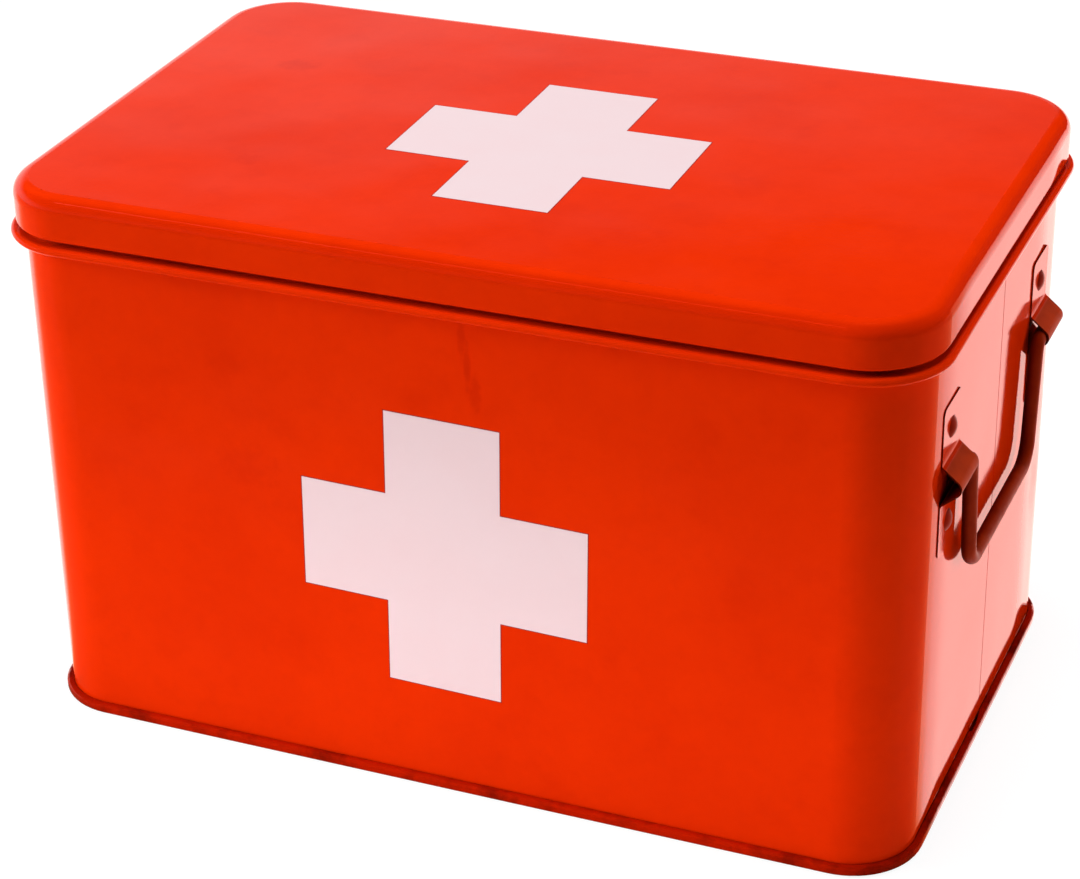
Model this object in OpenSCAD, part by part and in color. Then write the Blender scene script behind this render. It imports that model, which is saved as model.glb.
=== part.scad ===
// Sheet-metal medicine box with a lift-off lid and a swinging wire handle at each end.
// Origin: centre of the base on the floor. +X is the long side, -Y the front, +Z up.
// Profiles are drawn in a plane: x runs outwards from the wall's face, y is the height.

/* [Overall size] */
// Width over the lid
lid_w = 320; // [260:1:400]
// Depth over the lid
lid_d = 200; // [180:1:280]
// Height from the floor to the lid's top
box_h = 200; // [160:1:280]

/* [Sheet] */
// Thickness of the painted sheet
sheet = 0.5; // [0.4:0.05:0.7]
// Plan radius of the wall's corners
wall_r = 22.5; // [18:0.5:28]
// Tightest bend of the sheet, measured to its middle
bend_r = 0.6; // [0.5:0.05:0.8]
// Gap left between two sheets folded over each other
fold_gap = 0.1; // [0.05:0.05:0.2]

/* [Lid] */
// Height of the lid, from the hem's underside to its top
lid_h = 15.4; // [13:0.1:22]
// How far the lid's skirt stands out past the wall
skirt_proud = 3; // [2.8:0.1:4.5]
// Outside radius of the lid's top edge
lid_edge_r = 5.5; // [3:0.1:7]
// Play between the lid's hem and the neck
hem_play = 0.5; // [0.3:0.1:0.9]
// How far round the hem is rolled, in degrees
hem_turn = 290; // [240:5:310]
// Gap between the lid and the neck's rolled edge that it sits on
lid_seat = 0.3; // [0.2:0.05:0.5]

/* [Bead and neck] */
// Open gap between the lid's hem and the bead under it
bead_gap = 1.8; // [1:0.1:3]
// Height of the bead that runs round the box below the lid
bead_h = 2.7; // [2.2:0.1:4]
// How far the bead stands out past the wall
bead_proud = 5; // [4.5:0.1:6.5]
// Bend at the bead's root, measured to the sheet's middle
bead_root_r = 1.05; // [0.7:0.05:1.4]
// Thickness of the rolled edge of the neck
neck_curl = 2.4; // [2:0.1:3]
// How far round the neck's edge is rolled, in degrees
neck_turn = 280; // [240:5:310]

/* [Base] */
// Height of the folded rim that joins the base to the wall
rim_h = 3.6; // [3.4:0.1:5]
// How far the rim stands out past the wall
rim_proud = 2.5; // [2.4:0.1:3.6]
// Height of the base panel's underside above the floor
panel_rise = 3.2; // [2:0.1:5]
// Inside radius of the hooked foot's bends
hook_in_r = 0.1; // [0.1:0.05:0.3]
// Gap between the rim's lip and the wall
lip_gap = 0.2; // [0.1:0.05:0.4]

/* [Side seam] */
// Distance of the folded seam's middle behind the middle of the right-hand wall
seam_y = 3.5; // [-12:0.5:12]
// Width of the folded seam inside the wall
seam_w = 7; // [5:0.5:9]
// Thickness that the seam adds inside the wall
seam_t = 0.8; // [0.5:0.1:1.2]
// Width of the seam's line on the outside
seam_line_w = 0.6; // [0.4:0.1:1]
// Depth of the seam's line on the outside
seam_line_deep = 0.2; // [0.1:0.05:0.3]
// Length of the notch that lets the seam into the base rim
notch_w = 15; // [13:0.5:18]
// How far the notch runs on behind the seam's line
notch_past = 1; // [0.5:0.5:3]
// How far the notch reaches from the wall into the rim's lip
notch_deep = 1.2; // [1:0.1:1.6]
// Length of the notch's taper at its rear end
notch_taper = 9; // [6:0.5:10]
// Radius of the notch's front corner
notch_r = 0.9; // [0.5:0.1:1]

/* [Handles] */
// Height from the handle's axis up to the bead
handle_fall = 48.4; // [46:0.1:60]
// Diameter of the handle's wire
rod_d = 5; // [4:0.1:5.5]
// Gap between the wire and the wall
rod_gap = 1.3; // [1:0.1:3]
// Distance from the handle's axis down to its bar
bail_drop = 43; // [32:0.5:44]
// How far each leg leans in on its way down
bail_lean = 5; // [0:0.5:8]
// Bend radius at the top of each leg, to the wire's middle
leg_bend_r = 3.4; // [3:0.1:5]
// Bend radius at each end of the bar, to the wire's middle
bar_bend_r = 9; // [6:0.5:12]
// Length of wire inside each bracket's loop
pin_in = 12; // [8:0.5:16]
// Chamfer on the wire's ends
rod_chamfer = 0.5; // [0.2:0.1:0.8]
// How much a bend swells the wire, at its radius
bend_swell = 0.03; // [0.02:0.01:0.06]
// Gap between the bent leg and the bracket's side
leg_gap = 0.3; // [0.2:0.1:0.8]

/* [Brackets] */
// Distance from the box's middle to each bracket's middle
bracket_y = 56.5; // [46:0.5:58]
// Width of the strap
strap_w = 20; // [16:0.5:22]
// Length of the strap from end to end on the wall
strap_len = 53; // [48:0.2:60]
// Thickness of the strap
strap_t = 0.5; // [0.4:0.1:1.2]
// Corner radius of the strap's ends
strap_corner_r = 2.5; // [1:0.5:5]
// How steeply the strap rises from the wall to go round the wire, in degrees
strap_rise = 50; // [45:1:75]
// Bend where the strap leaves the wall, measured to the strap's middle
strap_bend_r = 1.5; // [1:0.1:3]
// Clearance between the wire and the loop
loop_gap = 0.35; // [0.25:0.05:0.5]

/* [Rivets] */
// Distance from each rivet to its end of the strap
rivet_end = 9.8; // [7:0.2:11]
// Diameter of the rivet's shank
rivet_d = 3.2; // [2.5:0.1:4]
// Diameter of the domed head
head_d = 7.4; // [5.5:0.1:8]
// Height of the domed head
head_h = 1.5; // [1.2:0.1:2.4]
// Diameter of the set head inside the box
tail_d = 5.6; // [4.8:0.1:6.5]
// Height of the set head inside the box
tail_h = 1; // [0.6:0.1:1.5]
// Clearance round the rivet's shank
rivet_gap = 0.1; // [0.05:0.05:0.2]

/* [Hidden] */
$fn = 64;
RIGHT = 1;
LEFT = -1;
FRONT = -1;
REAR = 1;
UPPER = 1;
LOWER = -1;

// Outside of the wall, and the lid's plan radius that runs parallel to it
wall_w = lid_w - 2 * skirt_proud;
wall_d = lid_d - 2 * skirt_proud;
lid_r = wall_r + skirt_proud;
// Heights of the lid's hem and the bead
hem_z = box_h - lid_h;
bead_top = hem_z - bead_gap;
bead_z = bead_top - bead_h;
hem_roll_r = (skirt_proud - hem_play - sheet) / 2;
neck_roll_r = (neck_curl - sheet) / 2;
bead_nose_r = (bead_h - sheet) / 2;
bead_run = bead_proud - bead_nose_r - bead_root_r;
// The neck's rolled edge comes up under the lid: its room inside the lid's rounded edge, and how far
// out of the centre of that edge it stands
roll_room = lid_edge_r - sheet - neck_curl / 2 - lid_seat;
roll_out = max(0, lid_edge_r - skirt_proud - neck_curl / 2);
neck_top = box_h - lid_edge_r + sqrt(pow(roll_room, 2) - pow(roll_out, 2)) + neck_curl / 2;
// Folded rim: the pan's fold goes round the wall's hooked foot, both measured to the sheet's middle
foot_bend_r = hook_in_r + sheet / 2;
rim_bend_r = foot_bend_r + sheet + fold_gap;
rim_face_x = rim_proud - sheet / 2;
foot_face_x = rim_face_x - sheet - fold_gap;
foot_low = sheet + fold_gap + sheet / 2;
foot_high = rim_h - sheet - fold_gap - sheet / 2;
chuck_x = -sheet - fold_gap - sheet / 2;
// The notch goes down to where the wall starts to bend outwards into its foot
notch_z = foot_low + bend_r;
notch_end_y = seam_y + seam_w / 2 + notch_past;
// Handle and brackets
handle_z = bead_z - handle_fall;
pin_x = rod_gap + rod_d / 2;
lean = atan(bail_lean / bail_drop);
leg_trim = leg_bend_r * tan((90 - lean) / 2);
bar_trim = bar_bend_r * tan((90 - lean) / 2);
leg_y = bracket_y - strap_w / 2 - leg_gap - leg_trim;
bar_y = leg_y - bail_lean;
leg_len = norm([bail_drop, bail_lean]) - leg_trim - bar_trim;
loop_in_r = rod_d / 2 + loop_gap;
loop_r = loop_in_r + strap_t / 2;
// The strap's flat run between its bend at the wall and its bend round the wire, and the loop's half height
ramp_out = pin_x + loop_r * cos(strap_rise) - strap_t / 2 - strap_bend_r * (1 - cos(strap_rise));
ramp_len = ramp_out / sin(strap_rise);
loop_half = (loop_r + strap_bend_r) * sin(strap_rise) + ramp_len * cos(strap_rise);
rivet_z = strap_len / 2 - rivet_end;
// Each straight run of wire ends this far inside the bend
run_lap = 0.3;
// Keeps a cut clear of the faces that it goes through
over = 1;

// A sector of a ring of sheet: mid radius, start angle and sweep
module arc_band(r, thick, start, sweep) {
    reach = 2 * (r + thick);
    wedge = [for (k = [0:6]) reach * [cos(start + sweep * k / 6), sin(start + sweep * k / 6)]];
    intersection() {
        difference() {
            circle(r + thick / 2);
            circle(r - thick / 2);
        }
        polygon(concat([[0, 0]], wedge));
    }
}

// A folded strip of sheet. Each step is [length, 0] for a flat run or [radius, turn] for a bend,
// and a positive turn bends to the left of the way that the strip runs.
module folded(steps, thick, k = 0) {
    if (k < len(steps)) {
        size = steps[k][0];
        turn = steps[k][1];
        if (turn == 0) {
            translate([0, -thick / 2]) square([size, thick]);
            translate([size, 0]) folded(steps, thick, k + 1);
        } else {
            side = sign(turn);
            translate([0, side * size]) {
                arc_band(size, thick, -90 * side, turn);
                rotate(turn) translate([0, -side * size]) folded(steps, thick, k + 1);
            }
        }
    }
}

// Runs a profile round a rectangle w by d with corner radius r; the profile's x = 0 is the rectangle
module round_sweep(w, d, r) {
    for (turn = [0, 180]) {
        rotate(turn) {
            translate([w / 2, d / 2 - r, 0]) rotate([90, 0, 0]) linear_extrude(d - 2 * r) children();
            translate([w / 2 - r, d / 2 - r, 0]) rotate_extrude(angle = 90) translate([r, 0]) children();
        }
        rotate(turn + 90) {
            translate([d / 2, w / 2 - r, 0]) rotate([90, 0, 0]) linear_extrude(w - 2 * r) children();
            translate([d / 2 - r, w / 2 - r, 0]) rotate_extrude(angle = 90) translate([r, 0]) children();
        }
    }
}

// Flat plate with round corners
module round_plate(w, d, r, thick) {
    linear_extrude(thick) {
        square([w - 2 * r, d], center = true);
        square([w, d - 2 * r], center = true);
        for (x = [-1, 1], y = [-1, 1]) translate([x * (w / 2 - r), y * (d / 2 - r)]) circle(r);
    }
}

// Hooked foot, wall, bead, neck and rolled edge, as one folded strip
module wall_profile() {
    hook_run = foot_face_x - foot_bend_r - lip_gap;
    face_run = foot_high - foot_low - 2 * foot_bend_r;
    root_low = bead_z + sheet / 2 - bead_root_r;
    root_high = bead_top - sheet / 2 + bead_root_r;
    translate([lip_gap, foot_high]) folded([
        [hook_run, 0],
        [foot_bend_r, -90],
        [face_run, 0],
        [foot_bend_r, -90],
        [foot_face_x - foot_bend_r + sheet / 2 - bend_r, 0],
        [bend_r, -90],
        [root_low - notch_z, 0],
        [bead_root_r, -90],
        [bead_run, 0],
        [bead_nose_r, 180],
        [bead_run, 0],
        [bead_root_r, -90],
        [neck_top - neck_curl / 2 - root_high, 0],
        [neck_roll_r, neck_turn]
    ], sheet);
}

// Recessed edge of the base and the fold that grips the wall's foot
module pan_profile() {
    translate([chuck_x - bend_r, panel_rise + sheet / 2]) folded([
        [bend_r, -90],
        [panel_rise - 2 * bend_r, 0],
        [bend_r, 90],
        [rim_face_x - rim_bend_r - chuck_x - bend_r, 0],
        [rim_bend_r, 90],
        [rim_h - sheet - 2 * rim_bend_r, 0],
        [rim_bend_r, 90],
        [rim_face_x - rim_bend_r - lip_gap, 0]
    ], sheet);
}

// Rounded edge, skirt and rolled hem of the lid
module lid_profile() {
    edge_r = lid_edge_r - sheet / 2;
    translate([-lid_edge_r, box_h - sheet / 2]) folded([
        [edge_r, -90],
        [lid_h - lid_edge_r - hem_roll_r - sheet / 2, 0],
        [hem_roll_r, -hem_turn]
    ], sheet);
}

// Cut in the rim's lip and the hook under it, beside the seam: a long taper at the rear, deepest and
// round-cornered at the front. The outer part of the fold runs on past it.
module rim_notch() {
    front = notch_r - notch_w;
    translate([wall_w / 2 + lip_gap / 2, notch_end_y, notch_z]) linear_extrude(rim_h) {
        polygon([
            [0, 0], [notch_deep, -notch_taper], [notch_deep, front],
            [notch_deep - notch_r, -notch_w], [0, -notch_w]
        ]);
        translate([notch_deep - notch_r, front]) circle(notch_r);
    }
}

// Puts a child at one bracket: x outwards from the wall, origin at the handle's axis height
module at_bracket(end, row) {
    mirror([end == LEFT ? 1 : 0, 0, 0])
        translate([wall_w / 2, row * bracket_y, handle_z]) children();
}

module rivet_holes(depth) {
    for (level = [LOWER, UPPER])
        translate([-over - depth, 0, level * rivet_z])
            rotate([0, 90, 0]) cylinder(d = rivet_d + 2 * rivet_gap, h = 2 * (depth + over));
}

module body_wall() {
    color("orangered") difference() {
        union() {
            round_sweep(wall_w, wall_d, wall_r) wall_profile();
            seam_low = panel_rise + sheet + over;
            seam_high = bead_z - over;
            translate([wall_w / 2 - sheet - seam_t, seam_y - seam_w / 2, seam_low])
                cube([seam_t + sheet / 2, seam_w, seam_high - seam_low]);
        }
        translate([wall_w / 2 - seam_line_deep, seam_y + seam_w / 2 - seam_line_w, rim_h])
            cube([over, seam_line_w, bead_z - rim_h - over]);
        for (end = [RIGHT, LEFT], row = [FRONT, REAR]) at_bracket(end, row) rivet_holes(sheet);
        rim_notch();
    }
}

module base_pan() {
    inset = chuck_x - bend_r;
    color("orangered") difference() {
        union() {
            round_sweep(wall_w, wall_d, wall_r) pan_profile();
            translate([0, 0, panel_rise])
                round_plate(wall_w + 2 * inset, wall_d + 2 * inset, wall_r + inset, sheet);
        }
        rim_notch();
    }
}

module lid() {
    flat_w = lid_w - 2 * lid_edge_r;
    flat_d = lid_d - 2 * lid_edge_r;
    color("orangered") {
        round_sweep(lid_w, lid_d, lid_r) lid_profile();
        translate([0, 0, box_h - sheet]) round_plate(flat_w, flat_d, lid_r - lid_edge_r, sheet);
    }
}

// Two flat legs and the loop that carries the wire, as one folded strip that runs down the wall
module strap_profile() {
    leg = strap_len / 2 - loop_half;
    translate([strap_t / 2, strap_len / 2]) rotate(-90) folded([
        [leg, 0],
        [strap_bend_r, strap_rise],
        [ramp_len, 0],
        [loop_r, -2 * strap_rise],
        [ramp_len, 0],
        [strap_bend_r, strap_rise],
        [leg, 0]
    ], strap_t);
}

module bracket(end, row) {
    color("orangered") at_bracket(end, row) difference() {
        intersection() {
            translate([0, strap_w / 2, 0]) rotate([90, 0, 0]) linear_extrude(strap_w) strap_profile();
            translate([-over, 0, 0]) rotate([90, 0, 90])
                round_plate(strap_w, strap_len, strap_corner_r, pin_x + loop_in_r + strap_t + 2 * over);
        }
        rivet_holes(strap_t);
    }
}

// Domed head outside, shank through strap and wall, set head inside
module rivet(end, row, level) {
    grip = strap_t + sheet;
    dome_r = (pow(head_d / 2, 2) + pow(head_h, 2)) / (2 * head_h);
    tail_r = (pow(tail_d / 2, 2) + pow(tail_h, 2)) / (2 * tail_h);
    color("firebrick") at_bracket(end, row)
        translate([strap_t, 0, level * rivet_z]) rotate([0, 90, 0]) {
            rotate_extrude() intersection() {
                translate([0, head_h - dome_r]) circle(dome_r);
                square([head_d, head_h]);
            }
            translate([0, 0, -grip - tail_h / 2]) cylinder(d = rivet_d, h = grip + tail_h / 2 + head_h / 2);
            translate([0, 0, -grip]) rotate_extrude() intersection() {
                translate([0, tail_r - tail_h]) circle(tail_r);
                translate([0, -tail_h]) square([tail_d, tail_h]);
            }
        }
}

// A bend of the wire in the YZ plane about its centre, from straight up or down towards a side
module wire_bend(r) {
    rotate([0, 90, 0]) rotate_extrude(angle = 90 - lean)
        translate([r, 0]) circle(d = rod_d + 2 * bend_swell);
}

// A straight run of wire along Z, let into the bend at one or both of its ends
module wire_run(len, lap_start, lap_end) {
    translate([0, 0, -lap_start]) cylinder(d = rod_d, h = len + lap_start + lap_end);
}

// One side of the handle: wide bend, leaning leg, tight bend and the end that turns in the loop
module bail_side() {
    pin_end_y = bracket_y - strap_w / 2 + pin_in;
    pin_start_y = leg_y + leg_trim;
    translate([0, bar_y - bar_trim, bar_bend_r - bail_drop]) wire_bend(bar_bend_r);
    translate([0, leg_y, 0]) rotate([180 - lean, 0, 0])
        translate([0, 0, leg_trim]) wire_run(leg_len, run_lap, run_lap);
    translate([0, pin_start_y, -leg_bend_r]) rotate([180, 0, 0]) wire_bend(leg_bend_r);
    translate([0, pin_start_y, 0]) rotate([-90, 0, 0])
        wire_run(pin_end_y - pin_start_y - rod_chamfer, run_lap, 0);
    translate([0, pin_end_y - rod_chamfer, 0]) rotate([-90, 0, 0])
        cylinder(d1 = rod_d, d2 = rod_d - 2 * rod_chamfer, h = rod_chamfer);
}

module handle(end) {
    color("orangered") mirror([end == LEFT ? 1 : 0, 0, 0])
        translate([wall_w / 2 + pin_x, 0, handle_z]) {
            bar_half = bar_y - bar_trim;
            translate([0, -bar_half, -bail_drop]) rotate([-90, 0, 0])
                wire_run(2 * bar_half, run_lap, run_lap);
            for (side = [0, 1]) mirror([0, side, 0]) bail_side();
        }
}

body_wall();
base_pan();
lid();
handle(RIGHT);  // handle_right
handle(LEFT);  // handle_left
bracket(RIGHT, FRONT);  // bracket_right_front
bracket(RIGHT, REAR);  // bracket_right_rear
bracket(LEFT, FRONT);  // bracket_left_front
bracket(LEFT, REAR);  // bracket_left_rear
rivet(RIGHT, FRONT, UPPER);  // rivet_right_front_upper
rivet(RIGHT, FRONT, LOWER);  // rivet_right_front_lower
rivet(RIGHT, REAR, UPPER);  // rivet_right_rear_upper
rivet(RIGHT, REAR, LOWER);  // rivet_right_rear_lower
rivet(LEFT, FRONT, UPPER);  // rivet_left_front_upper
rivet(LEFT, FRONT, LOWER);  // rivet_left_front_lower
rivet(LEFT, REAR, UPPER);  // rivet_left_rear_upper
rivet(LEFT, REAR, LOWER);  // rivet_left_rear_lower
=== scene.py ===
"""Looks of a painted sheet-metal medicine box: gloss paint, printed crosses, studio light and camera."""
import math

import bmesh
import bpy
from mathutils import Matrix, Vector


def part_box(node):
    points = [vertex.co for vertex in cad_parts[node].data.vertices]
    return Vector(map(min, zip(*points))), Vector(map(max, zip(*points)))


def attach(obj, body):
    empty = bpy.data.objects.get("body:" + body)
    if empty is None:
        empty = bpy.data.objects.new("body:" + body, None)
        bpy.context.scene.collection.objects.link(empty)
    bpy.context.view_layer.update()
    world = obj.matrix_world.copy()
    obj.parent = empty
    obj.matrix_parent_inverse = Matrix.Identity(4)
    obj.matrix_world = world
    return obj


# Lengths are in metres and colours are linear, unless a comment says otherwise.

MM = 0.001

# Camera: where it stands, which way it looks, and how far the frame is slid across the picture
CAMERA_AT = Vector((0.3570, -0.8749, 0.5935))
CAMERA_AZIMUTH = math.radians(23.78)
CAMERA_ELEVATION = math.radians(28.87)
CAMERA_TILT = math.radians(-1.71)
CAMERA_CLIPS = (0.02, 50)
LENS_MM = 100.8
SENSOR_MM = 36
FRAME_SHIFT = (0.0556, 0.0324)

# Lamps: where each stands, what it faces, its width and height, and its power in watts
LAMPS = {
    "left": ((-2.2, -0.9, 1.1), (0, 0, 0.1), (0.9, 0.9), 45.0),
    "top": ((0, 0, 2.5), (0, 0, 0.1), (0.9, 0.9), 52.0),
    "right": ((1.35, 1.35, 0.5), (0, 0, 0.1), (2.0, 1.2), 24.0),
    "low": ((-0.14, -0.29, 0.022), (-0.14, -0.1, 0.022), (0.8, 0.03), 0.43),
    "strip": ((-0.95, -1.3, 2.2), (0, 0, 0.1), (1.3, 0.2), 3.3),
}
# Gloss paint mirrors this lamp and none of the others
MIRRORED_LAMP = "strip"

# Gloss paint: its colour, the deeper one of its clouds, the tint of what it mirrors, and a darker colour
PAINT_RED = (0.80, 0.0280, 0.0003)
PAINT_DEEP = (0.62, 0.0150, 0.0002)
PAINT_GLEAM = (1.0, 0.05, 0.02)
# The darker colour is painted shade along the lid's rounded edge, and the base rim's colour
PAINT_DARKER = (0.56, 0.0120, 0.0002)
# Painted shade: the near black that folds, loops, cut edges, wire and rivets take where they are shut in
PAINTED_SHADE = (0.040, 0.0010, 0.0002)
# Painted shade in brown on the brackets' loops, where they stand out from the wall
LOOP_SHADE_PAINT = (0.46, 0.036, 0.003)
# Wire and rivets take a darker red than the box: partly their own paint, partly painted shade where they
# mirror dark surroundings
WIRE_PAINT = (0.31, 0.024, 0.002)
WIRE_DEEP = (0.20, 0.010, 0.001)
RIVET_PAINT = (0.38, 0.014, 0.001)
RIVET_DEEP = (0.20, 0.006, 0.0005)
RIM_DARK = (0.16, 0.004, 0.0005)
# One white print in two colours: the lid's darker copy is painted shade
PRINT_FRONT = (0.85, 0.64, 0.66)
PRINT_LID = (0.74, 0.58, 0.60)
PRINT_EDGE = (0.36, 0.010, 0.002)
FLOOR_WHITE = (0.72, 0.72, 0.72)

# Gloss paint sees a white wall to the left. Between these sines of the height angle it goes over into the
# ceiling, and between these values of the direction's X into the room. Both are only this bright.
CEILING_FADE = (0.23, 0.425)
ROOM_FADE = (-0.39, -0.02)
ROOM_SEEN = 0.02

# Half the side of the square floor
FLOOR_HALF = 6.0
# The floor as the camera sees it, and as gloss paint mirrors it: its glow and the share of it
FLOOR_SEEN, FLOOR_SEEN_SHARE = (1.15, 1.15, 1.15), 0.78
FLOOR_MIRRORED, FLOOR_MIRRORED_SHARE = (2.15, 1.29, 1.16), 0.9
# The camera sees nothing but glow on the floor beyond these distances from the box
SHADOWS_END = (0.7, 1.6)
# Gloss paint sees the floor dim in front of the box. Round a point by each front corner, at this X and Y, the
# floor brightens with the angle from straight out towards the back: angle in degrees, and share of the full
# brightness there. The left side is ahead by some degrees.
DIM_FROM = (0.15, -0.08)
BRIGHTENS = ((-5, 0.0), (50, 0.50), (65, 1.0))
LEFT_AHEAD = 45
# Where the floor is dim each channel keeps its own share. Then each follows its own power: red comes first.
DIM_SEEN = (0.06, 0.05, 0.0)
CHANNEL_POWERS = (0.55, 2.4, 3.8)
# Points that aren't out past that X count as this far out, so their angle is a right angle
LEAST_OUT = 0.0001

# Noise patterns: scale, detail and roughness of the noise, and the part of its range that counts
CLOUDS = (16, 3, 0.5, 0.40, 0.70)
SMUDGES = (55, 4, 0.6, 0.52, 0.75)
MOTTLE = (170, 3, 0.6, 0.35, 0.70)
MARK_EDGES = (260, 3, 0.6, 0.30, 0.70)
RIM_PATCHES = (45, 4, 0.7, 0.45, 0.62)
GLOSS_PATCHES = (35, 3, 0.5, 0.40, 0.75)
STRAP_PATCHES = (180, 3, 0.6, 0.35, 0.70)
FITTING_PATCHES = (120, 4, 0.6, 0.35, 0.70)
FITTING_GLOSS = (260, 3, 0.5, 0.30, 0.70)
PRINT_PATCHES = (40, 4, 0.6, 0.40, 0.80)
# Bumps: scale, detail and roughness of the noise, strength of the bump, and its depth
METAL_WAVE = (12, 2, 0.5, 0.5, 0.0011)
RIM_LUMPS = (110, 3, 0.6, 0.7, 0.0007)
ORANGE_PEEL = (900, 2, 0.5, 0.06, 0.0002)
STRAP_PEEL = (700, 2, 0.5, 0.15, 0.0002)
DENTS = (420, 3, 0.6, 0.25, 0.0003)

# How much of the deeper colour each layer of clouding in the gloss paint mixes in at most
CLOUDING = ((CLOUDS, 0.30), (SMUDGES, 0.20), (MOTTLE, 0.12))
# Faint dull marks in the paint: where, half their width and height, and how much they show, on the front in X
# and Z and on the lid in X and Y. The first three on the front run on as one streak under the lid.
FRONT_MARKS = (
    ((0.0090, 0.1730), (0.0016, 0.0100), 0.50),
    ((0.0108, 0.1630), (0.0014, 0.0090), 0.62),
    ((0.0134, 0.1535), (0.0024, 0.0070), 0.45),
    ((-0.0694, 0.1120), (0.0130, 0.0090), 0.24),
    ((-0.0760, 0.1500), (0.0090, 0.0060), 0.20),
    ((0.1025, 0.0965), (0.0080, 0.0120), 0.14),
)
LID_MARKS = (
    ((-0.1101, 0.0359), (0.0085, 0.0065), 0.45),
    ((-0.0890, -0.0480), (0.0060, 0.0050), 0.22),
    ((0.0760, -0.0150), (0.0080, 0.0110), 0.16),
)
# How much the noise shifts a mark's edge, and over which squared distance, in half sizes, the mark fades
MARK_RAGGED = 0.5
MARK_FADE = (-0.2, 1.3)
# The front lies before this Y and the lid's top above this Z
FRONT_Y, LID_Z = -0.0965, 0.1995

# Painted shade darkens the lid's rounded edge: where it starts and ends in height, and how much it shows
LID_EDGE_STARTS, LID_EDGE_ENDS = (0.1945, 0.1960), (0.1986, 0.1996)
LID_EDGE_SHADE = 0.4
# The rolled base rim ends between these heights and lies outside the walls, whose corners turn about this X
# and Y. Its paint is darker, with darker patches, least and most, and darker still beyond these values of X.
RIM_TOP = (0.0039, 0.0042)
WALLS_TURN, WALL_RADIUS = (0.1345, 0.0745), 0.0225
RIM_DARK_SHARE = (0.15, 0.75)
RIM_ENDS, RIM_ENDS_DARK = (0.125, 0.145), 0.35
# Bent normals let the end walls fall away slightly towards their corners: over this Y, and by how much. That
# fades out as a face's own normal turns up or down, between these values of its Z.
DOMED, DOME = (0.048, 0.087), 0.0026
UPRIGHT = (0.2, 0.7)
# Painted shade darkens the sheet where it is folded over itself, below and above these heights, and in the
# brackets' loops, which stand at this Y and Z and reach so far each way. The folds take only a share of it.
FOLDS, FOLD_SHADE = (0.008, 0.176), 0.15
LOOPS_AT, LOOPS_HALF = (0.0565, 0.1317), (0.0102, 0.0082)

# Painted shade darkens where other surfaces shut a point in: how near they are, and the shares of open space
# round it at which it is wholly shut in and wholly free. Wire and rivets take a share of it.
SHEET_SHUT_IN = (0.004, 0.2, 0.7)
STRAP_SHUT_IN = (0.006, 0.15, 0.6)
FITTING_SHUT_IN, FITTING_SHADE = (0.015, 0.35, 0.85), 0.85
# Rays that look for those surfaces round each point
SHUT_IN_RAYS = 8

# Roughness, index of refraction and specular level of each finish. A pair goes from the glossy to the dull
# parts of it, or on the straps from the wall to the loops.
GLOSS_ROUGH, GLOSS_IOR = (0.03, 0.09), 1.5
STRAP_ROUGH, STRAP_SPECULAR = (0.08, 0.5), (0.5, 0.12)
WIRE_ROUGH, RIVET_ROUGH, ROUGH_SPREAD = 0.45, 0.35, 0.08
FITTING_IOR, FITTING_SPECULAR = 1.45, 0.25
PRINT_ROUGH, PRINT_SPECULAR = 0.4, 0.2
# How much of their second colour the patches show at most on the straps, on wire and rivets, and in the print
STRAP_VARIES, FITTING_VARIES, PRINT_VARIES = 0.25, 0.8, 0.03
# The end walls' distance from the middle, and the front wall's Y
WALL_FACE, WALL_FRONT = 0.157, -0.097
# Between these heights over the wall the straps turn dull and take painted shade in brown. Painted shade marks
# their cut edges, and fades out between these values of X of a face's normal.
STRAP_OFF_WALL = (0.0009, 0.0022)
CUT_EDGES, CUT_EDGE_SHADE = (0.3, 0.5), 0.85

# Printed crosses: overall size and width of the bars, and the middle of each, in millimetres
LID_CROSS = {"size": (101.0, 102.6), "bars": (40.2, 41.4)}
FRONT_CROSS = {"size": (101.4, 102.4), "bars": (40.5, 40.9)}
LID_CROSS_AT = (1.9, -3.8)
FRONT_CROSS_AT = (0.1, 90.5)
FRONT_CROSS_TURN = math.radians(1.1)
PRINT_THICK, PRINT_SUNK = 0.05, 0.03
# A line of dark red shows round each cross: how far it stands out and how thick it is, in millimetres
EDGE_WIDE, EDGE_THICK = 0.35, 0.02


def make_camera():
    forward = Vector((
        -math.sin(CAMERA_AZIMUTH) * math.cos(CAMERA_ELEVATION),
        math.cos(CAMERA_AZIMUTH) * math.cos(CAMERA_ELEVATION),
        -math.sin(CAMERA_ELEVATION),
    ))
    level = Vector((math.cos(CAMERA_AZIMUTH), math.sin(CAMERA_AZIMUTH), 0))
    above = level.cross(forward)
    right = level * math.cos(CAMERA_TILT) + above * math.sin(CAMERA_TILT)
    up = right.cross(forward)
    data = bpy.data.cameras.new("camera")
    data.lens = LENS_MM
    data.sensor_width = SENSOR_MM
    data.shift_x, data.shift_y = FRAME_SHIFT
    data.clip_start, data.clip_end = CAMERA_CLIPS
    camera = bpy.data.objects.new("camera", data)
    turn = Matrix((right, up, -forward)).transposed().to_4x4()
    camera.matrix_world = Matrix.Translation(CAMERA_AT) @ turn
    bpy.context.scene.collection.objects.link(camera)
    bpy.context.scene.camera = camera


def make_lamp(name, at, towards, size, power):
    data = bpy.data.lights.new(name, "AREA")
    data.shape = "RECTANGLE"
    data.size, data.size_y = size
    data.energy = power
    lamp = bpy.data.objects.new(name, data)
    lamp.location = at
    lamp.rotation_euler = (Vector(towards) - Vector(at)).to_track_quat("-Z", "Y").to_euler()
    lamp.visible_camera = False
    lamp.visible_glossy = name == MIRRORED_LAMP
    bpy.context.scene.collection.objects.link(lamp)


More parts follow.
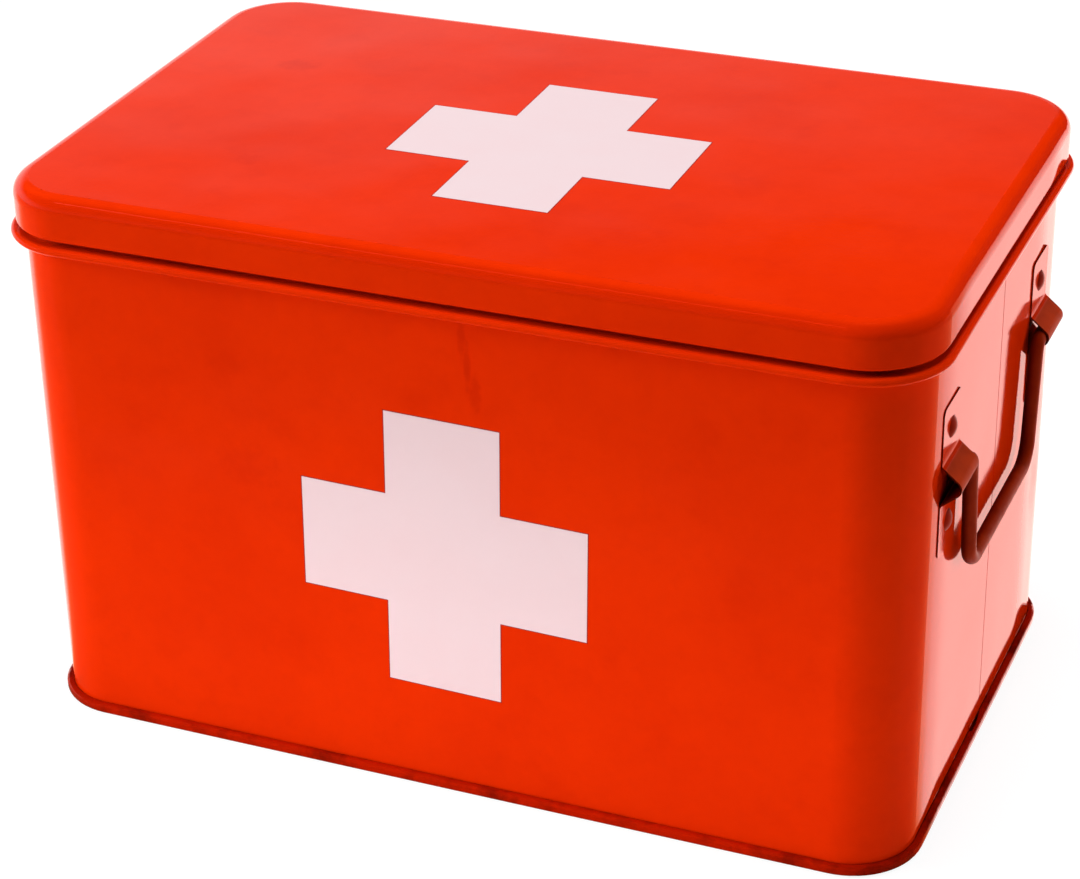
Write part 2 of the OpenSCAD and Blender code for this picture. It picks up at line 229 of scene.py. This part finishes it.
def add(tree, kind, inputs=None, **settings):
    """A new node. inputs holds plain values or the sockets that feed it, by input name or number."""
    node = tree.nodes.new(kind)
    for name, value in settings.items():
        setattr(node, name, value)
    for name, value in (inputs or {}).items():
        if isinstance(value, bpy.types.NodeSocket):
            tree.links.new(value, node.inputs[name])
        else:
            node.inputs[name].default_value = value
    return node


def math_node(tree, operation, *values):
    return add(tree, "ShaderNodeMath", dict(enumerate(values)), operation=operation).outputs[0]


def plus(tree, a, b):
    return math_node(tree, "ADD", a, b)


def minus(tree, a, b):
    return math_node(tree, "SUBTRACT", a, b)


def times(tree, a, b):
    return math_node(tree, "MULTIPLY", a, b)


def absolute(tree, a):
    return math_node(tree, "ABSOLUTE", a)


def sum_of_squares(tree, a, b):
    return plus(tree, times(tree, a, a), times(tree, b, b))


def fit_range(tree, value, low, high, to_low, to_high, smooth=False):
    """value from low..high carried to to_low..to_high, clamped."""
    inputs = {"Value": value, "From Min": low, "From Max": high, "To Min": to_low, "To Max": to_high}
    kind = "SMOOTHSTEP" if smooth else "LINEAR"
    return add(tree, "ShaderNodeMapRange", inputs, interpolation_type=kind).outputs[0]


def blend_colours(tree, share, a, b):
    node = add(tree, "ShaderNodeMix", data_type="RGBA")
    for name, value in (("Factor", share), ("A", a), ("B", b)):
        socket = next(s for s in node.inputs if s.name == name and s.enabled)
        if isinstance(value, bpy.types.NodeSocket):
            tree.links.new(value, socket)
        else:
            socket.default_value = (*value, 1)
    return next(s for s in node.outputs if s.enabled)


def object_place(tree):
    return add(tree, "ShaderNodeTexCoord").outputs["Object"]


def axes(tree, vector):
    return add(tree, "ShaderNodeSeparateXYZ", {0: vector}).outputs


def face_normal(tree):
    return axes(tree, add(tree, "ShaderNodeNewGeometry").outputs["True Normal"])


def noise(tree, where, scale, detail, roughness):
    inputs = {"Vector": where, "Scale": scale, "Detail": detail, "Roughness": roughness}
    return add(tree, "ShaderNodeTexNoise", inputs).outputs["Fac"]


def pattern(tree, where, kind, to_low, to_high):
    """One of the noise patterns above, carried to to_low..to_high."""
    scale, detail, roughness, low, high = kind
    return fit_range(tree, noise(tree, where, scale, detail, roughness), low, high, to_low, to_high)


def relief(tree, where, kind, share=None, over=None):
    """The normals of one of the bumps above, all over or by share, on top of the normals of another bump."""
    scale, detail, roughness, strength, depth = kind
    height = noise(tree, where, scale, detail, roughness)
    if share is not None:
        height = times(tree, height, share)
    inputs = {"Strength": strength, "Distance": depth, "Height": height}
    if over is not None:
        inputs["Normal"] = over
    return add(tree, "ShaderNodeBump", inputs).outputs[0]


def new_material(name):
    material = bpy.data.materials.new(name)
    material.use_nodes = True
    tree = material.node_tree
    tree.nodes.clear()
    output = add(tree, "ShaderNodeOutputMaterial")
    return material, tree, output


def surroundings_seen(tree):
    """1 for rays that see the surroundings directly or by reflection, 0 for rays that light the object."""
    path = add(tree, "ShaderNodeLightPath").outputs
    seen = math_node(tree, "MAXIMUM", path["Is Camera Ray"], path["Is Glossy Ray"])
    return math_node(tree, "MAXIMUM", seen, path["Is Transmission Ray"])


def make_world():
    """White to the camera and a dim room with one white wall to gloss paint. It lights nothing itself."""
    world = bpy.data.worlds.new("world")
    bpy.context.scene.world = world
    world.use_nodes = True
    tree = world.node_tree
    tree.nodes.clear()
    towards = axes(tree, add(tree, "ShaderNodeTexCoord").outputs["Generated"])
    under_ceiling = fit_range(tree, towards["Z"], *CEILING_FADE, 1.0, ROOM_SEEN)
    on_white_wall = fit_range(tree, towards["X"], *ROOM_FADE, 1.0, ROOM_SEEN)
    mirrored = times(tree, under_ceiling, on_white_wall)
    by_camera = add(tree, "ShaderNodeLightPath").outputs["Is Camera Ray"]
    seen = math_node(tree, "MAXIMUM", mirrored, by_camera)
    strength = times(tree, surroundings_seen(tree), seen)
    background = add(tree, "ShaderNodeBackground", {"Color": (1, 1, 1, 1), "Strength": strength})
    output = add(tree, "ShaderNodeOutputWorld")
    tree.links.new(background.outputs[0], output.inputs["Surface"])


def floor_mirrored(tree):
    """What gloss paint mirrors of the floor: dim red in front of the box, full on the rest of it."""
    at = axes(tree, object_place(tree))
    out = minus(tree, absolute(tree, at["X"]), DIM_FROM[0])
    back = minus(tree, at["Y"], DIM_FROM[1])
    angle = math_node(tree, "ARCTAN2", back, math_node(tree, "MAXIMUM", out, LEAST_OUT))
    on_left = math_node(tree, "LESS_THAN", at["X"], 0.0)
    angle = plus(tree, angle, times(tree, on_left, math.radians(LEFT_AHEAD)))
    steps = [fit_range(tree, angle, math.radians(start), math.radians(end), 0, reached - had)
             for (start, had), (end, reached) in zip(BRIGHTENS, BRIGHTENS[1:])]
    share = plus(tree, *steps)
    channels = [fit_range(tree, math_node(tree, "POWER", share, power), 0, 1, dim * full, full)
                for power, dim, full in zip(CHANNEL_POWERS, DIM_SEEN, FLOOR_MIRRORED)]
    return add(tree, "ShaderNodeCombineColor", dict(enumerate(channels))).outputs[0]


def make_floor():
    mesh = bpy.data.meshes.new("floor")
    corners = [(x * FLOOR_HALF, y * FLOOR_HALF, 0) for x, y in ((-1, -1), (1, -1), (1, 1), (-1, 1))]
    mesh.from_pydata(corners, [], [(0, 1, 2, 3)])
    floor = bpy.data.objects.new("floor", mesh)
    bpy.context.scene.collection.objects.link(floor)
    material, tree, output = new_material("floor")
    diffuse = add(tree, "ShaderNodeBsdfDiffuse", {"Color": (*FLOOR_WHITE, 1)})
    by_camera = add(tree, "ShaderNodeLightPath").outputs["Is Camera Ray"]
    far = add(tree, "ShaderNodeVectorMath", {0: object_place(tree)}, operation="LENGTH").outputs["Value"]
    near_share = fit_range(tree, far, *SHADOWS_END, FLOOR_SEEN_SHARE, 1)
    seen_share = fit_range(tree, by_camera, 0, 1, FLOOR_MIRRORED_SHARE, near_share)
    seen = blend_colours(tree, by_camera, floor_mirrored(tree), FLOOR_SEEN)
    glow = add(tree, "ShaderNodeEmission", {"Color": seen, "Strength": 1.0})
    share = times(tree, surroundings_seen(tree), seen_share)
    mixed = add(tree, "ShaderNodeMixShader", {0: share, 1: diffuse.outputs[0], 2: glow.outputs[0]})
    tree.links.new(mixed.outputs[0], output.inputs["Surface"])
    mesh.materials.append(material)


def shut_in(tree, reach, shut, free):
    """1 where other surfaces within reach shut a point in, 0 where it stands free."""
    seen = add(tree, "ShaderNodeAmbientOcclusion", {"Distance": reach}, samples=SHUT_IN_RAYS).outputs["AO"]
    return fit_range(tree, seen, shut, free, 1.0, 0.0)


def marks(tree, where, across, up, places):
    """How much each mark on a face shows in its middle, 0 away from them, with ragged edges."""
    ragged = pattern(tree, where, MARK_EDGES, -MARK_RAGGED, MARK_RAGGED)
    shown = 0.0
    for (x, y), (wide, tall), shows in places:
        dx = math_node(tree, "DIVIDE", minus(tree, across, x), wide)
        dy = math_node(tree, "DIVIDE", minus(tree, up, y), tall)
        far = plus(tree, sum_of_squares(tree, dx, dy), ragged)
        near = fit_range(tree, far, *MARK_FADE, shows, 0, smooth=True)
        shown = math_node(tree, "MAXIMUM", shown, near)
    return shown


def clouding(tree, where, at):
    """How much of the deeper colour shows in the gloss paint, by its soft layers and its placed marks."""
    on_front = math_node(tree, "LESS_THAN", at["Y"], FRONT_Y)
    on_lid = math_node(tree, "GREATER_THAN", at["Z"], LID_Z)
    layers = [pattern(tree, where, kind, 0, most) for kind, most in CLOUDING]
    layers.append(times(tree, marks(tree, where, at["X"], at["Z"], FRONT_MARKS), on_front))
    layers.append(times(tree, marks(tree, where, at["X"], at["Y"], LID_MARKS), on_lid))
    total = layers[0]
    for layer in layers[1:]:
        total = plus(tree, total, layer)
    return total


def on_base_rim(tree, at):
    """1 on the rolled rim at the box's foot, 0 inside the walls and above it."""
    past = [math_node(tree, "MAXIMUM", minus(tree, absolute(tree, at[axis]), turn), 0)
            for axis, turn in zip("XY", WALLS_TURN)]
    from_turn = math_node(tree, "SQRT", sum_of_squares(tree, *past))
    outside = math_node(tree, "GREATER_THAN", from_turn, WALL_RADIUS)
    return times(tree, fit_range(tree, at["Z"], *RIM_TOP, 1, 0), outside)


def gloss_colour(tree, where, at, on_rim):
    """Clouded paint, with painted shade along the lid's rounded edge, and darker on the base rim."""
    tint = blend_colours(tree, clouding(tree, where, at), PAINT_RED, PAINT_DEEP)
    # The darker colour along the lid's rounded edge is painted shade
    below = fit_range(tree, at["Z"], *LID_EDGE_STARTS, 0, LID_EDGE_SHADE, smooth=True)
    edge_shade = fit_range(tree, at["Z"], *LID_EDGE_ENDS, below, 0, smooth=True)
    tint = blend_colours(tree, edge_shade, tint, PAINT_DARKER)
    dark_patches = pattern(tree, where, RIM_PATCHES, *RIM_DARK_SHARE)
    at_ends = fit_range(tree, absolute(tree, at["X"]), *RIM_ENDS, 0, RIM_ENDS_DARK)
    rim = blend_colours(tree, plus(tree, dark_patches, at_ends), PAINT_DARKER, RIM_DARK)
    return blend_colours(tree, on_rim, tint, rim)


def domed(tree, at, over):
    """Normals bent as if the end walls fell away towards their corners, on top of the normals of a bump."""
    near = fit_range(tree, absolute(tree, at["Y"]), *DOMED, 0, 1)
    # The curve 4n^3 - 3n^4 is level at both ends, so no edge shows there
    height = times(tree, math_node(tree, "POWER", near, 3), minus(tree, 4, times(tree, near, 3)))
    upright = fit_range(tree, absolute(tree, face_normal(tree)["Z"]), *UPRIGHT, 1, 0)
    inputs = {"Strength": upright, "Distance": -DOME, "Height": height, "Normal": over}
    return add(tree, "ShaderNodeBump", inputs).outputs[0]


def sheet_painted_shade(tree, at):
    """Painted shade in the sheet's folds and inside the brackets' loops, where it is shut in."""
    below = math_node(tree, "LESS_THAN", at["Z"], FOLDS[0])
    above = math_node(tree, "GREATER_THAN", at["Z"], FOLDS[1])
    by_fold = times(tree, plus(tree, below, above), FOLD_SHADE)
    beside, level = (math_node(tree, "COMPARE", absolute(tree, at[axis]), middle, half)
                     for axis, middle, half in zip("YZ", LOOPS_AT, LOOPS_HALF))
    shaded_places = plus(tree, by_fold, times(tree, beside, level))
    return times(tree, shut_in(tree, *SHEET_SHUT_IN), shaded_places)


def sheet_material():
    """Gloss paint on pressed sheet: soft clouding, orange peel and a slight wave in the metal under it."""
    material, tree, output = new_material("gloss_paint")
    where = object_place(tree)
    at = axes(tree, where)
    on_rim = on_base_rim(tree, at)
    colour = gloss_colour(tree, where, at, on_rim)
    bumps = relief(tree, where, METAL_WAVE)
    bumps = domed(tree, at, bumps)
    bumps = relief(tree, where, RIM_LUMPS, share=on_rim, over=bumps)
    bumps = relief(tree, where, ORANGE_PEEL, over=bumps)
    paint = add(tree, "ShaderNodeBsdfPrincipled", {
        # The base colour carries painted shade in the folds and inside the loops
        "Base Color": blend_colours(tree, sheet_painted_shade(tree, at), colour, PAINTED_SHADE),
        "Roughness": pattern(tree, where, GLOSS_PATCHES, *GLOSS_ROUGH),
        "IOR": GLOSS_IOR, "Specular Tint": (*PAINT_GLEAM, 1), "Normal": bumps})
    tree.links.new(paint.outputs[0], output.inputs["Surface"])
    return material


def strap_material():
    """The same paint on the brackets, plain by the wall, dull and with painted shade in brown where the loops
    stand out.
    """
    material, tree, output = new_material("strap_paint")
    where = object_place(tree)
    out = minus(tree, absolute(tree, axes(tree, where)["X"]), WALL_FACE)
    off_wall = fit_range(tree, out, *STRAP_OFF_WALL, 0, 1, smooth=True)
    patches = pattern(tree, where, STRAP_PATCHES, 0, STRAP_VARIES)
    by_wall = blend_colours(tree, patches, PAINT_RED, PAINT_DEEP)
    loop_shade = blend_colours(tree, patches, LOOP_SHADE_PAINT, WIRE_DEEP)
    # Where the loops stand out from the wall the brown is painted shade
    colour = blend_colours(tree, off_wall, by_wall, loop_shade)
    # Cut edges and the insides of the loops get painted shade
    cut_edge = fit_range(tree, absolute(tree, face_normal(tree)["X"]), *CUT_EDGES, CUT_EDGE_SHADE, 0)
    in_loop = times(tree, shut_in(tree, *STRAP_SHUT_IN), off_wall)
    shade = math_node(tree, "MAXIMUM", cut_edge, in_loop)
    paint = add(tree, "ShaderNodeBsdfPrincipled", {
        "Base Color": blend_colours(tree, shade, colour, PAINTED_SHADE),
        "Roughness": fit_range(tree, off_wall, 0, 1, *STRAP_ROUGH),
        "Specular IOR Level": fit_range(tree, off_wall, 0, 1, *STRAP_SPECULAR),
        "IOR": GLOSS_IOR, "Specular Tint": (*PAINT_GLEAM, 1), "Normal": relief(tree, where, STRAP_PEEL)})
    tree.links.new(paint.outputs[0], output.inputs["Surface"])
    return material


def fitting_material(name, colour, deep, rough):
    """Darker paint on wire and rivets, partly their own colour and partly painted shade, with more painted
    shade where shut in: brown patches, small dents and little gloss.
    """
    material, tree, output = new_material(name)
    where = object_place(tree)
    patches = pattern(tree, where, FITTING_PATCHES, 0, FITTING_VARIES)
    tint = blend_colours(tree, patches, colour, deep)
    # Where other surfaces shut them in, wire and rivets get painted shade
    shade = times(tree, shut_in(tree, *FITTING_SHUT_IN), FITTING_SHADE)
    paint = add(tree, "ShaderNodeBsdfPrincipled", {
        "Base Color": blend_colours(tree, shade, tint, PAINTED_SHADE),
        "Roughness": pattern(tree, where, FITTING_GLOSS, rough - ROUGH_SPREAD, rough + ROUGH_SPREAD),
        "IOR": FITTING_IOR, "Specular IOR Level": FITTING_SPECULAR, "Specular Tint": (*PAINT_GLEAM, 1),
        "Normal": relief(tree, where, DENTS)})
    tree.links.new(paint.outputs[0], output.inputs["Surface"])
    return material


def print_material(name, colour):
    """Screen print on the red paint, with the red showing through a little."""
    material, tree, output = new_material(name)
    where = object_place(tree)
    thin = pattern(tree, where, PRINT_PATCHES, 0, PRINT_VARIES)
    paint = add(tree, "ShaderNodeBsdfPrincipled", {
        "Base Color": blend_colours(tree, thin, colour, PAINT_RED), "Roughness": PRINT_ROUGH,
        "Specular IOR Level": PRINT_SPECULAR, "Normal": relief(tree, where, ORANGE_PEEL)})
    tree.links.new(paint.outputs[0], output.inputs["Surface"])
    return material


def cross_outline(size, bars):
    """The twelve corners of a plain cross about the origin, anticlockwise, in millimetres."""
    wide, tall = size[0] / 2, size[1] / 2
    arm_x, arm_y = bars[0] / 2, bars[1] / 2
    right_arm = [(wide, -arm_y), (wide, arm_y), (arm_x, arm_y)]
    top_arm = [(arm_x, tall), (-arm_x, tall), (-arm_x, arm_y)]
    half = right_arm + top_arm
    return half + [(-x, -y) for x, y in half]


def make_cross(name, size, bars, thick, place, body, material):
    """A printed cross as a thin solid that lies on the surface at place."""
    mesh = bpy.data.meshes.new(name)
    solid = bmesh.new()
    corners = cross_outline(size, bars)
    face = solid.faces.new([solid.verts.new((x, y, -PRINT_SUNK)) for x, y in corners])
    top = bmesh.ops.extrude_face_region(solid, geom=[face])["geom"]
    raised = [v for v in top if isinstance(v, bmesh.types.BMVert)]
    bmesh.ops.translate(solid, verts=raised, vec=(0, 0, PRINT_SUNK + thick))
    bmesh.ops.recalc_face_normals(solid, faces=solid.faces)
    solid.to_mesh(mesh)
    solid.free()
    mesh.transform(place @ Matrix.Scale(MM, 4))
    mesh.materials.append(material)
    piece = bpy.data.objects.new(name, mesh)
    bpy.context.scene.collection.objects.link(piece)
    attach(piece, body)


def paint_nodes(nodes):
    """Every CAD node gets its finish by the first word of its name, and sheet metal the gloss paint."""
    sheet = sheet_material()
    finishes = {
        "bracket": strap_material(),
        "handle": fitting_material("wire_paint", WIRE_PAINT, WIRE_DEEP, WIRE_ROUGH),
        "rivet": fitting_material("rivet_paint", RIVET_PAINT, RIVET_DEEP, RIVET_ROUGH),
    }
    for name, part in nodes.items():
        part.data.materials.clear()
        part.data.materials.append(finishes.get(name.split("_")[0], sheet))


def print_crosses():
    """A cross and the dark line round it on the lid and on the front."""
    lid_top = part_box("lid")[1].z
    lid_place = Matrix.Translation((LID_CROSS_AT[0] * MM, LID_CROSS_AT[1] * MM, lid_top))
    front_place = (Matrix.Translation((FRONT_CROSS_AT[0] * MM, WALL_FRONT, FRONT_CROSS_AT[1] * MM))
                   @ Matrix.Rotation(FRONT_CROSS_TURN, 4, "Y") @ Matrix.Rotation(math.radians(90), 4, "X"))
    edge = print_material("print_edge", PRINT_EDGE)
    for side, shape, place, body, colour in (("lid", LID_CROSS, lid_place, "lid", PRINT_LID),
                                             ("front", FRONT_CROSS, front_place, "box", PRINT_FRONT)):
        white = print_material(f"white_print_{side}", colour)
        larger = {key: [length + 2 * EDGE_WIDE for length in lengths] for key, lengths in shape.items()}
        make_cross(f"cross_{side}", **shape, thick=PRINT_THICK, place=place, body=body, material=white)
        make_cross(f"cross_{side}_edge", **larger, thick=EDGE_THICK, place=place, body=body, material=edge)


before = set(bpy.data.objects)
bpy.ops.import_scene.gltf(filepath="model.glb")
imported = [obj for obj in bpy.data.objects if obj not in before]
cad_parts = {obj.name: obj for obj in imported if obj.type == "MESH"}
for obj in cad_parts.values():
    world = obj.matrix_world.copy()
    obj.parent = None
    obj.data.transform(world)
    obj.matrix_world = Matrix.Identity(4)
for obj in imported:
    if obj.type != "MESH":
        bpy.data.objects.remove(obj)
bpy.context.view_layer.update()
make_camera()
make_world()
make_floor()
for name, values in LAMPS.items():
    make_lamp(name, *values)
paint_nodes(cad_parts)
print_crosses()
bpy.context.scene.view_settings.view_transform = "Standard"
